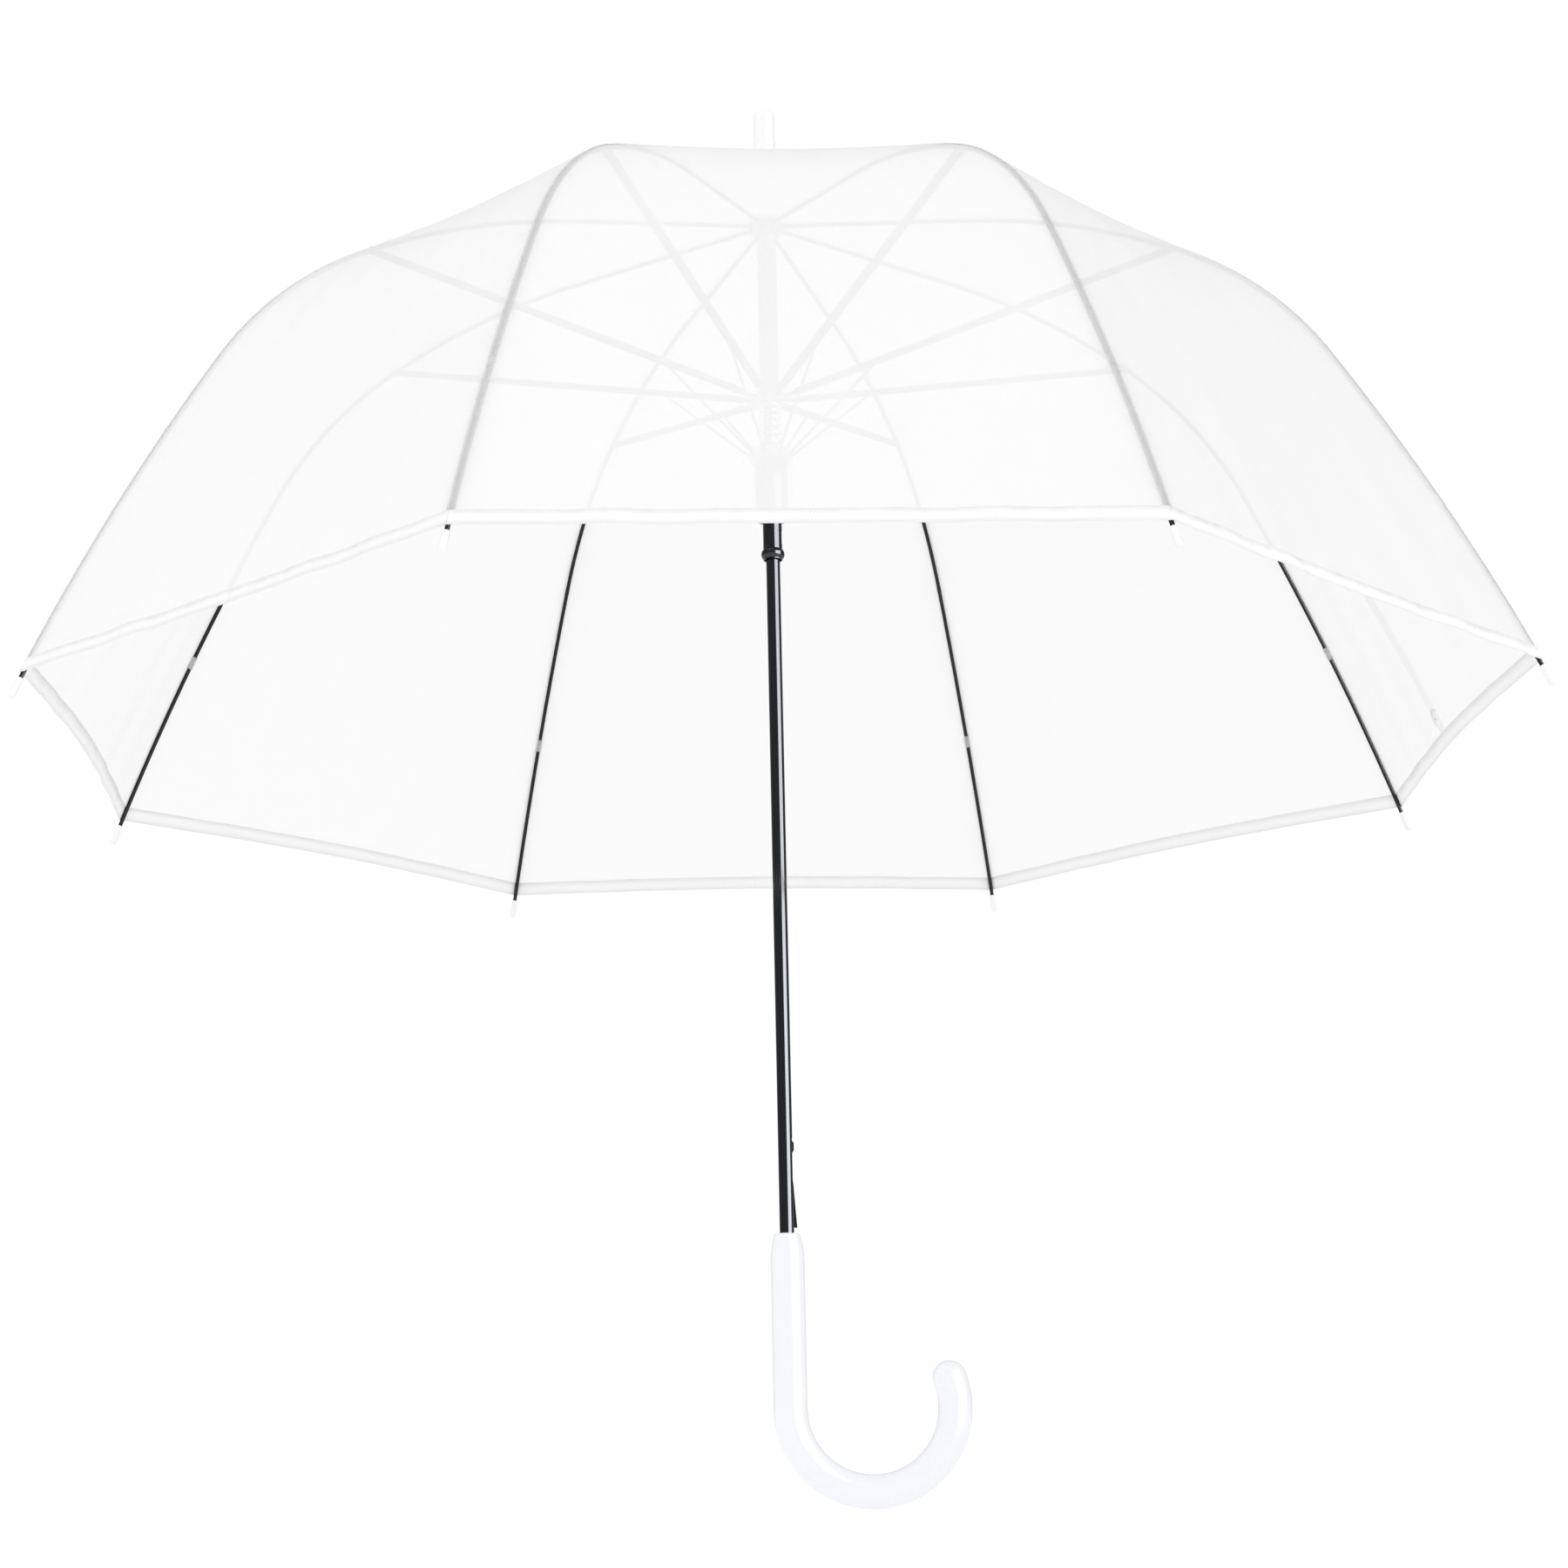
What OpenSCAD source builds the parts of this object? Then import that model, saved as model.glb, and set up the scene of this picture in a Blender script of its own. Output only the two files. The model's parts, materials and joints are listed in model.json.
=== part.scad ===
// Stick umbrella with a clear dome canopy, eight ribs, a double runner and a crook handle.
// It stands open. The origin is on the shaft's axis where the shaft leaves the handle's mouth,
// +Z runs up the shaft to the ferrule and the crook opens toward +X.
// A rib's own frame has +X straight out from the shaft and +Y along its hinge axes.

/* [Canopy] */
// Distance from the shaft's axis to the tip of a rib
open_radius = 430; // [400:5:450]
// Height of the rib tips below the pivots in the crown
dome_drop = 320; // [300:5:330]
// Thickness of the film
film = 0.25; // [0.2:0.05:0.4]
// How far the middle of a panel sags in from a straight line between its ribs
panel_sag = 6; // [2:1:10]
// How far the hem rises between two rib tips
hem_bow = 4; // [0:1:8]

/* [Ribs] */
// Diameter of the spring steel rib wire
rib_d = 2.4; // [2:0.1:2.6]
// Slope of a rib where it leaves the crown, below level
root_slope = 8; // [6:1:9]
// Slope of a rib at its joint with the strut
joint_slope = 26.4; // [25:0.2:28]
// Slope of a rib where its tight bend ends
bend_slope = 58; // [56:1:60]
// Slope of a rib at its tip
tip_slope = 66; // [65:1:68]

/* [Linkage] */
// Radius of the ring wires that the ribs and struts turn on
pivot_radius = 7.5; // [7.4:0.1:7.6]
// Distance from the shaft's axis to the joint of rib and strut
joint_radius = 245; // [243:1:247]
// Height of that joint below the crown's pivots
joint_drop = 54; // [53:0.5:55]
// Distance along a strut from the runner's pivot to the link's pivot
link_at = 61; // [55:1:65]
// Radius at which the links sit in the lower runner
link_radius = 11; // [10.9:0.1:11.2]
// Height of the runner's pivots above the lower runner's when open
runner_gap = 36; // [35:1:37]

/* [Shaft] */
// Height of the crown's pivots above the handle's mouth
crown_height = 597; // [590:1:620]
// Outer diameter of the shaft tube
shaft_d = 8; // [7.9:0.1:8]
// Inner diameter of the shaft tube
shaft_bore = 6.8; // [6:0.1:7]

/* [Handle] */
// Diameter of the handle
handle_d = 18.5; // [17:0.5:20]
// Length of the straight grip above the crook
grip_length = 95; // [90:0.5:110]
// Radius of the crook along the middle of the handle
crook_radius = 45; // [42:1:52]
// Angle that the crook turns through
crook_sweep = 200; // [180:5:205]

/* [Ferrule] */
// Height of the ferrule's top above the crown's pivots
ferrule_height = 75.5; // [70:0.5:80]
// Diameter of the ferrule's straight end
ferrule_d = 12.5; // [12:0.1:12.8]

/* [Hidden] */
RIBS = 8;
BARE = ["shaft", "handle", "ferrule", "crown", "crown_wire", "rosette", "runner", "runner_wire",
        "lower_runner", "latch_tube", "main_spring", "release_catch"];

FIRST_RIB = -67.5;             // direction of rib 1 about the shaft, from +X
PITCH = 360 / RIBS;
ROUND = 48;                    // facets of a small circle in the preview
FINE = 360;                    // facets of a long arc in the preview
RUNNING = 0.08;                // radial gap of a running fit
SLOT = 2.2;                    // width of a slot that holds an eye
EYE_T = 1.4;                   // thickness of an eye in a slot
EYE_R = 1.5;                   // radius of an eye in a slot
EYE_BORE = 0.8;                // radius of the hole in that eye
WIRE_R = 0.5;                  // radius of a ring wire
EAR_R = 1.4;                   // radius of an ear at the joint of rib and strut
FORK_T = 0.55;                 // thickness of a rib's fork ear
FORK_AT = 0.88;                // distance of its middle from the rib's plane
FLAT_HALF = 1.05;              // half the height of the flattened wire
SLEEVE_LENGTH = 4;             // length of a crimped sleeve
BREAK = 0.5;                   // distance from the middle of a sleeve to the end of a wire
PIN_R = 0.5;                   // radius of a rivet at that joint
LINK_R = 0.75;                 // radius of the link wire
LINK_PIN_R = 0.35;             // radius of the link's rivet
FLANGE_HALF = 2.6;             // half the height of a slotted flange
FLOOR = 1.9;                   // distance from a pivot to the closed side of its slot

rib_r = rib_d / 2;
shaft_r = shaft_d / 2;
handle_r = handle_d / 2;
ferrule_r = ferrule_d / 2;

// A rib runs straight out of the crown, bends gently to the strut joint, then tightly,
// then gently again. The straight length and the three bend radii make it pass through
// the strut joint and end at the tip.
function solve2(a, b, c, d, u, v) = [(u * d - b * v) / (a * d - b * c), (a * v - u * c) / (a * d - b * c)];
inner_fit = solve2(cos(root_slope), sin(joint_slope) - sin(root_slope),
                   sin(root_slope), cos(root_slope) - cos(joint_slope),
                   joint_radius - pivot_radius, joint_drop);
straight = inner_fit[0];
inner_bend = inner_fit[1];
outer_fit = solve2(sin(bend_slope) - sin(joint_slope), sin(tip_slope) - sin(bend_slope),
                   cos(joint_slope) - cos(bend_slope), cos(bend_slope) - cos(tip_slope),
                   open_radius - joint_radius, dome_drop - joint_drop);
mid_bend = outer_fit[0];
tip_bend = outer_fit[1];

// Points of the linkage as [distance from the shaft, height].
crown_pivot = [pivot_radius, crown_height];
rib_joint = [joint_radius, crown_height - joint_drop];
rib_tip = [open_radius, crown_height - dome_drop];
runner_pivot = [pivot_radius, crown_height - 2 * joint_drop];
lower_pivot = [link_radius, runner_pivot[1] - runner_gap];
strut_rise = atan(joint_drop / (joint_radius - pivot_radius));
arm = norm(rib_joint - crown_pivot);
link_drop = 0.3;               // the link's pivot lies this far below the strut's middle
link_pivot = runner_pivot + link_at * [cos(strut_rise), sin(strut_rise)]
             + link_drop * [sin(strut_rise), -cos(strut_rise)];
link_length = norm(link_pivot - lower_pivot);
link_slope = atan2(link_pivot[1] - lower_pivot[1], link_pivot[0] - lower_pivot[0]);

// Angle of an arc's stretch, in degrees.
function turn(length, radius) = length / radius * 180 / PI;

// Ends and centres of the rib's four stretches.
function along(slope) = [cos(slope), -sin(slope)];
function inward(slope) = [-sin(slope), -cos(slope)];
bend_start = crown_pivot + straight * along(root_slope);
inner_centre = bend_start + inner_bend * inward(root_slope);
mid_centre = rib_joint + mid_bend * inward(joint_slope);
tip_centre = mid_centre + (tip_bend - mid_bend) * inward(bend_slope);

// Film: a rib point and its slope at a share t of the rib, then a point of the petal.
mid_length = mid_bend * (bend_slope - joint_slope) * PI / 180;
inner_length = inner_bend * (joint_slope - root_slope) * PI / 180;
tip_length = tip_bend * (tip_slope - bend_slope) * PI / 180;
rib_length = straight + inner_length + mid_length + tip_length;
FILM_GAP = 2.1;                // from the middle of a rib out to the film
FILM_START = 0.9;              // where the film starts along the rib
HEM_SHORT = 1;                 // how far short of the rib's tip the hem stops
TENT = 3.6;                    // how far the film lifts off the ribs to pass over the crown
TENT_REACH = 9;                // distance from the crown in which that lift fades
SEAM_GAP = 0.25;               // half the gap between two petals
PETAL_ROWS = 22;
PETAL_COLS = 8;

function slope_at(s) =
    s < straight ? root_slope :
    s < straight + inner_length ? root_slope + (s - straight) / inner_bend * 180 / PI :
    s < straight + inner_length + mid_length
        ? joint_slope + (s - straight - inner_length) / mid_bend * 180 / PI
        : bend_slope + (s - straight - inner_length - mid_length) / tip_bend * 180 / PI;
function rib_at(s) =
    let (a = slope_at(s))
    s < straight ? crown_pivot + s * along(root_slope) :
    s < straight + inner_length ? inner_centre - inner_bend * inward(a) :
    s < straight + inner_length + mid_length ? mid_centre - mid_bend * inward(a)
        : tip_centre - tip_bend * inward(a);
function film_at(s, w, depth) =
    let (a = slope_at(s), p = rib_at(s) - (FILM_GAP - depth) * inward(a),
         share = p[0] / open_radius, side = abs(w) * (1 - SEAM_GAP / (0.383 * p[0])),
         sag = panel_sag * share * sin(90 * side),
         lift = TENT * exp(-pow((p[0] - pivot_radius) / TENT_REACH, 2))
                + hem_bow * pow(share, 4) * sin(90 * side),
         x = p[0] * (1 - side * (1 - pow(cos(PITCH / 2), 2))) - sag * sin(a) * cos(PITCH / 2),
         y = p[0] * side * cos(PITCH / 2) * sin(PITCH / 2) - sag * sin(a) * sin(PITCH / 2) * side)
    [x, sign(w) * y, p[1] - sag * cos(a) + lift];

module at_rib(i) {
    rotate([0, 0, FIRST_RIB + (i - 1) * PITCH]) children();
}

// Puts children at a point of a rib's frame, with +X sloping down by slope.
module at_point(p, slope = 0) {
    translate([p[0], 0, p[1]]) rotate([0, slope, 0]) children();
}

// A disc, or a bore, across the rib's frame, centred on y = 0.
module cross_disc(r, width) {
    rotate([90, 0, 0]) cylinder(r = r, h = width, center = true, $fn = ROUND);
}

// A stretch of rib wire bent about a centre, between two slopes.
module wire_arc(centre, radius, from, to) {
    translate([centre[0], 0, centre[1]]) rotate([90, 0, 0]) rotate([0, 0, 90 - to])
        rotate_extrude(angle = to - from, $fn = FINE)
            translate([radius, 0]) circle(r = rib_r, $fn = ROUND);
}

// A ring about the shaft with a round section.
module ring(radius, r, z) {
    translate([0, 0, z]) rotate_extrude($fn = FINE) translate([radius, 0]) circle(r = r, $fn = ROUND);
}

// The slots of a flange. From `from` outward, between two heights.
module slots(from, low, high) {
    for (i = [1:RIBS]) at_rib(i) translate([from, -SLOT / 2, low]) cube([30, SLOT, high - low]);
}

module tube(z, h, r_out, r_in) {
    difference() {
        translate([0, 0, z]) cylinder(r = r_out, h = h, $fn = FINE);
        translate([0, 0, z - 1]) cylinder(r = r_in, h = h + 2, $fn = FINE);
    }
}

CATCH_SLOT = 2.8;              // width of the slot in the shaft
CATCH_TOP = 53;                // height of the slot's top
SHAFT_FOOT = -82;              // depth of the shaft in the handle
NIB = 4.7;                     // reach of the catch's nib, just short of the latch tube's bore

module shaft() {
    color("dimgray") difference() {
        tube(SHAFT_FOOT, crown_height + ferrule_height - 20 - SHAFT_FOOT, shaft_r, shaft_bore / 2);
        translate([0, -CATCH_SLOT / 2, 2.5]) cube([shaft_d, CATCH_SLOT, CATCH_TOP - 2.5]);
    }
}

// Leaf in the shaft's slot. Its lower end stands proud as the thumb tab, its upper end is the nib.
module release_catch() {
    color("silver") translate([0, 1.2, 0]) rotate([90, 0, 0]) linear_extrude(height = 2.4)
        polygon([[1.7, 3.2], [5.8, 3.2], [5.6, 5], [4.1, 27], [3.7, 30], [3.7, 44.5], [NIB, 46],
                 [NIB, 50], [3.7, 51.5], [1.7, 51.5]]);
}

MOUTH = 15;                    // length of the handle's rounded mouth
MOUTH_R = 6.9;                 // radius of the mouth's end

// Moulded crook: a rounded mouth, a straight grip, a bend and a ball end.
module handle() {
    ogive = (pow(handle_r - MOUTH_R, 2) + MOUTH * MOUTH) / (2 * (handle_r - MOUTH_R));
    color("white") difference() {
        union() {
            rotate_extrude($fn = FINE) intersection() {
                translate([handle_r - ogive, -MOUTH]) circle(r = ogive, $fn = FINE);
                translate([0, -MOUTH]) square([handle_r, MOUTH]);
            }
            translate([0, 0, -grip_length])
                cylinder(r = handle_r, h = grip_length - MOUTH, $fn = FINE);
            translate([crook_radius, 0, -grip_length]) rotate([90, 0, 0]) rotate([0, 0, 180])
                rotate_extrude(angle = crook_sweep, $fn = FINE)
                    translate([crook_radius, 0]) circle(r = handle_r, $fn = ROUND * 2);
            translate([crook_radius, 0, -grip_length]) rotate([0, -(crook_sweep - 180), 0])
                translate([crook_radius, 0, 0]) sphere(r = handle_r, $fn = ROUND * 2);
        }
        translate([0, 0, SHAFT_FOOT - 1]) cylinder(r = shaft_r + 0.03, h = 100, $fn = FINE);
    }
}

FERRULE_END = 17;              // length of the ferrule's straight end, without the rounding
FERRULE_ROUND = 2.9;           // radius of the ferrule's rounded rim

// Long moulded cap over the shaft's top. Its flared foot holds the film down.
module ferrule() {
    rim = ferrule_height - FERRULE_ROUND;
    waist = rim - FERRULE_END;
    bore = shaft_r + 0.03;
    bore_top = ferrule_height - 19;
    color("white") translate([0, 0, crown_height]) rotate_extrude($fn = FINE) {
        polygon([[bore, 4.2], [5.6, 4.2], [5.6, 5.8], [10, 5.8], [10, 7], [8.3, 9], [7.3, 12], [7, 16],
                 [6.6, waist], [ferrule_r, waist], [ferrule_r, rim],
                 [ferrule_r - FERRULE_ROUND, ferrule_height], [0, ferrule_height],
                 [0, bore_top], [bore, bore_top]]);
        translate([ferrule_r - FERRULE_ROUND, rim]) circle(r = FERRULE_ROUND, $fn = FINE);
    }
}

HUB_R = 5.6;                   // radius of the hub inside the slots of crown and runner
RUNNER_TOP = 4;                // height of the runner's hub above its pivots
STOP_GAP = 0.3;                // gap between the open runner and the crown's hub

// Slotted notch, pinned on the shaft, that the ribs hinge in. Its slots are open outward and down,
// and its hub runs down the shaft as a tube that stops the runner.
module crown() {
    hub = crown_height - runner_pivot[1] - RUNNER_TOP - STOP_GAP;
    color("lightgray") difference() {
        union() {
            translate([0, 0, crown_height - FLANGE_HALF]) cylinder(r = 10, h = 2 * FLANGE_HALF, $fn = FINE);
            translate([0, 0, crown_height - hub]) cylinder(r = HUB_R, h = hub, $fn = FINE);
        }
        translate([0, 0, crown_height - hub - 1]) cylinder(r = shaft_r + 0.03, h = hub + 10, $fn = FINE);
        slots(HUB_R, crown_height - 12, crown_height + FLOOR);
        ring(pivot_radius, WIRE_R + 0.05, crown_height);
    }
}

module crown_wire() {
    color("silver") ring(pivot_radius, WIRE_R, crown_height);
}

// Washer between the crown and the film.
module rosette() {
    color("white") tube(crown_height + 2.8, 1.2, 9.4, shaft_r + 0.03);
}

// Upper runner, which the struts hinge on. Its slots are open outward and up.
module runner() {
    z = runner_pivot[1];
    color("lightgray") difference() {
        union() {
            translate([0, 0, z - FLANGE_HALF]) cylinder(r = 9.5, h = 2 * FLANGE_HALF, $fn = FINE);
            translate([0, 0, z]) cylinder(r = HUB_R, h = RUNNER_TOP, $fn = FINE);
            translate([0, 0, z - 3.6]) cylinder(r = 7.2, h = 2, $fn = FINE);
        }
        translate([0, 0, z - 10]) cylinder(r = shaft_r + RUNNING, h = 20, $fn = FINE);
        slots(HUB_R, z - FLOOR, z + 12);
        ring(pivot_radius, WIRE_R + 0.05, z);
    }
}

module runner_wire() {
    color("silver") ring(pivot_radius, WIRE_R, runner_pivot[1]);
}

SLEEVE_R = 8.75;               // outer radius of the lower runner's sleeve
SLEEVE_BORE = 7.5;             // radius of the pocket that holds the spring
SEAT_DROP = 32;                // depth of the spring's seat below the lower runner's pivots
SLEEVE_DROP = 39;              // depth of the sleeve's foot
TUBE_R = 5.5;                  // outer radius of the latch tube
TUBE_BORE = 5;                 // radius of its bore
BEAD_DROP = 60;                // depth of the middle of the bead
BEAD_R = 6.75;                 // radius of the bead
BEAD_ROUND = 4;                // radius of its rounding

// Lower runner: a slotted rim for the links on a sleeve that holds the main spring.
module lower_runner() {
    z = lower_pivot[1];
    color("white") difference() {
        union() {
            translate([0, 0, z - FLANGE_HALF]) cylinder(r = 12.5, h = 2 * FLANGE_HALF, $fn = FINE);
            translate([0, 0, z - SLEEVE_DROP]) cylinder(r = SLEEVE_R, h = SLEEVE_DROP, $fn = FINE);
        }
        translate([0, 0, z - SEAT_DROP]) cylinder(r = SLEEVE_BORE, h = 60, $fn = FINE);
        translate([0, 0, z - SLEEVE_DROP - 1]) cylinder(r = shaft_r + RUNNING, h = 20, $fn = FINE);
        translate([0, 0, z - SLEEVE_DROP - 1]) cylinder(r = TUBE_R, h = 6, $fn = FINE);
        slots(9.3, z - FLOOR, z + 12);
    }
}

// Steel tube pressed into the lower runner, with a rolled bead and the catch's window.
module latch_tube() {
    z = lower_pivot[1];
    color("dimgray") difference() {
        union() {
            translate([0, 0, z - BEAD_DROP - 3.5])
                cylinder(r = TUBE_R, h = BEAD_DROP + 3.5 - SLEEVE_DROP + 5, $fn = FINE);
            translate([0, 0, z - BEAD_DROP]) rotate_extrude($fn = FINE) intersection() {
                translate([BEAD_R - BEAD_ROUND, 0]) circle(r = BEAD_ROUND, $fn = FINE);
                translate([TUBE_BORE + 0.1, -3.5]) square([5, 7]);
            }
        }
        translate([0, 0, z - 100]) cylinder(r = TUBE_BORE, h = 90, $fn = FINE);
        translate([0, -1.7, z - BEAD_DROP + 6]) cube([10, 3.4, 8.5]);
    }
}

SPRING_R = 6.3;                // radius of the main spring's coils
SPRING_WIRE = 0.6;             // radius of its wire
SPRING_TURNS = 13;
SPRING_STEP = 24;              // angle between two rings of its mesh
SPRING_SIDES = 6;

// Opening spring, seated in the lower runner and pushing the runner up.
module main_spring() {
    low = lower_pivot[1] - SEAT_DROP + SPRING_WIRE + 0.1;
    high = runner_pivot[1] - 3.6 - SPRING_WIRE - 0.1;
    rings = SPRING_TURNS * 360 / SPRING_STEP;
    points = [for (k = [0:rings]) for (m = [0:SPRING_SIDES - 1])
        let (a = k * SPRING_STEP, b = m * 360 / SPRING_SIDES, r = SPRING_R + SPRING_WIRE * cos(b))
        [r * cos(a), r * sin(a), low + (high - low) * k / rings + SPRING_WIRE * sin(b)]];
    sides = [for (k = [0:rings - 1]) for (m = [0:SPRING_SIDES - 1])
        let (a = k * SPRING_SIDES + m, b = k * SPRING_SIDES + (m + 1) % SPRING_SIDES)
        each [[a, b, b + SPRING_SIDES], [a, b + SPRING_SIDES, a + SPRING_SIDES]]];
    ends = [[for (m = [SPRING_SIDES - 1:-1:0]) m],
            [for (m = [0:SPRING_SIDES - 1]) rings * SPRING_SIDES + m]];
    color("silver") polyhedron(points = points, faces = concat(sides, ends));
}

// Crimped sleeve over the meeting of two lengths of rib wire.
module sleeve(p, slope) {
    at_point(p, slope) rotate([0, 90, 0])
        cylinder(r = rib_r + 0.12, h = SLEEVE_LENGTH, center = true, $fn = ROUND);
}

// Flattened wire: a plate in the rib's plane, from one distance along the slope to another.
module flat(p, slope, from, to, width, shift = 0) {
    at_point(p, slope) translate([from, shift - width / 2, -FLAT_HALF])
        cube([to - from, width, 2 * FLAT_HALF]);
}

// Rib from the crown to the strut joint: an eye on a flattened end, wire, and a fork.
module rib_inner(i) {
    gap = 2.2;
    color("black") at_rib(i) difference() {
        union() {
            at_point(crown_pivot) cross_disc(EYE_R, EYE_T);
            flat(crown_pivot, root_slope, 0.4, 7.4, EYE_T);
            at_point(crown_pivot, root_slope) translate([6, 0, 0]) rotate([0, 90, 0])
                cylinder(r = rib_r, h = straight - 6 - BREAK, $fn = ROUND);
            sleeve(bend_start, root_slope);
            wire_arc(inner_centre, inner_bend, root_slope + turn(BREAK, inner_bend),
                     joint_slope - turn(gap, inner_bend));
            for (side = [-1, 1]) {
                flat(rib_joint, joint_slope, -gap - 2, 0, FORK_T, side * FORK_AT);
                translate([0, side * FORK_AT, 0]) at_point(rib_joint) cross_disc(EAR_R, FORK_T);
            }
        }
        at_point(crown_pivot) cross_disc(EYE_BORE, 10);
        at_point(rib_joint) cross_disc(PIN_R + RUNNING, 10);
    }
}

// Rib from the strut joint to the tip: an eye on a flattened end, and bent wire.
module rib_outer(i) {
    gap = 1.9;
    in_cap = 5;
    color("black") at_rib(i) difference() {
        union() {
            at_point(rib_joint) cross_disc(EAR_R, 1);
            flat(rib_joint, joint_slope, 0, gap + 2, 1);
            wire_arc(mid_centre, mid_bend, joint_slope + turn(gap, mid_bend),
                     bend_slope - turn(BREAK, mid_bend));
            sleeve(mid_centre - mid_bend * inward(bend_slope), bend_slope);
            wire_arc(tip_centre, tip_bend, bend_slope + turn(BREAK, tip_bend),
                     tip_slope + turn(in_cap, tip_bend));
        }
        at_point(rib_joint) cross_disc(PIN_R + RUNNING, 10);
    }
}

CHANNEL = 1.4;                 // half the strut channel's inner width, and half its height
WALL = 0.6;                    // thickness of its walls

// Strut: folded channel, open downward, with an eye at the runner, ears at the rib and both rivets.
module strut(i) {
    color("dimgray") at_rib(i) at_point(runner_pivot, -strut_rise) difference() {
        union() {
            cross_disc(EYE_R, EYE_T);
            translate([0.4, -EYE_T / 2, -1.3]) cube([11.6, EYE_T, 2.4]);
            translate([9, -CHANNEL - WALL, CHANNEL - WALL]) cube([arm - 16.5, 2 * (CHANNEL + WALL), WALL]);
            for (side = [-1, 1]) translate([0, side * (CHANNEL + WALL / 2), 0]) {
                translate([9, -WALL / 2, -CHANNEL]) cube([arm - 9, WALL, 2 * CHANNEL]);
                translate([arm, 0, 0]) cross_disc(EAR_R, WALL);
                translate([arm, side * (WALL / 2 + 0.2), 0]) cross_disc(0.9, 0.4);
            }
            translate([arm, 0, 0]) cross_disc(PIN_R, 2 * (CHANNEL + WALL));
            translate([link_at, 0, -link_drop]) cross_disc(LINK_PIN_R, 2 * (CHANNEL + WALL));
        }
        cross_disc(EYE_BORE, 10);
    }
}

// Link: wire with an eye on the strut's rivet and an eye that drops into the lower runner's slot.
module link(i) {
    color("dimgray") at_rib(i) at_point(lower_pivot, -link_slope) difference() {
        union() {
            cross_disc(1.3, EYE_T);
            translate([0.9, 0, 0]) rotate([0, 90, 0])
                cylinder(r = LINK_R, h = link_length - 1.5, $fn = ROUND);
            translate([link_length, 0, 0]) cross_disc(0.9, 1.6);
        }
        cross_disc(0.6, 10);
        translate([link_length, 0, 0]) cross_disc(LINK_PIN_R + RUNNING, 10);
    }
}

// Plastic cap on the rib's tip, with a ball end.
module tip_cap(i) {
    length = 13;
    color("white") at_rib(i) at_point(rib_tip, tip_slope) rotate([0, 90, 0]) difference() {
        union() {
            translate([0, 0, 2.5]) cylinder(r1 = 1.8, r2 = 2, h = length - 2.5, $fn = ROUND);
            translate([0, 0, length]) sphere(r = 2, $fn = ROUND);
        }
        cylinder(r = rib_r + 0.03, h = 5.1, $fn = ROUND);
    }
}

// One petal of the film, from panel middle to panel middle, centred on its rib.
module canopy(i) {
    span = rib_length - HEM_SHORT - FILM_START;
    points = [for (depth = [0, film]) for (row = [0:PETAL_ROWS]) for (col = [0:PETAL_COLS])
        film_at(FILM_START + span * pow(row / PETAL_ROWS, 1.2), 2 * col / PETAL_COLS - 1, -depth)];
    line = PETAL_COLS + 1;
    skin = line * (PETAL_ROWS + 1);
    inside = [for (row = [0:PETAL_ROWS - 1]) for (col = [0:PETAL_COLS - 1])
        let (a = row * line + col)
        each [[a, a + line, a + 1], [a + 1, a + line, a + line + 1]]];
    outside = [for (f = inside) [f[0] + skin, f[2] + skin, f[1] + skin]];
    rim = concat([for (col = [0:PETAL_COLS - 1]) col + 1],
                 [for (row = [1:PETAL_ROWS]) row * line + PETAL_COLS],
                 [for (col = [PETAL_COLS - 1:-1:0]) PETAL_ROWS * line + col],
                 [for (row = [PETAL_ROWS - 1:-1:0]) row * line]);
    edge = [for (k = [0:len(rim) - 1])
        let (a = rim[k], b = rim[(k + 1) % len(rim)])
        each [[a, b, b + skin], [a, b + skin, a + skin]]];
    color("whitesmoke", 0.35) at_rib(i) polyhedron(points = points, faces = concat(inside, outside, edge));
}

shaft();
handle();
ferrule();
crown();
crown_wire();
rosette();
runner();
runner_wire();
lower_runner();
latch_tube();
main_spring();
release_catch();
for (i = [1:RIBS]) {
    rib_inner(i);
    rib_outer(i);
    strut(i);
    link(i);
    canopy(i);
    tip_cap(i);
}
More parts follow.
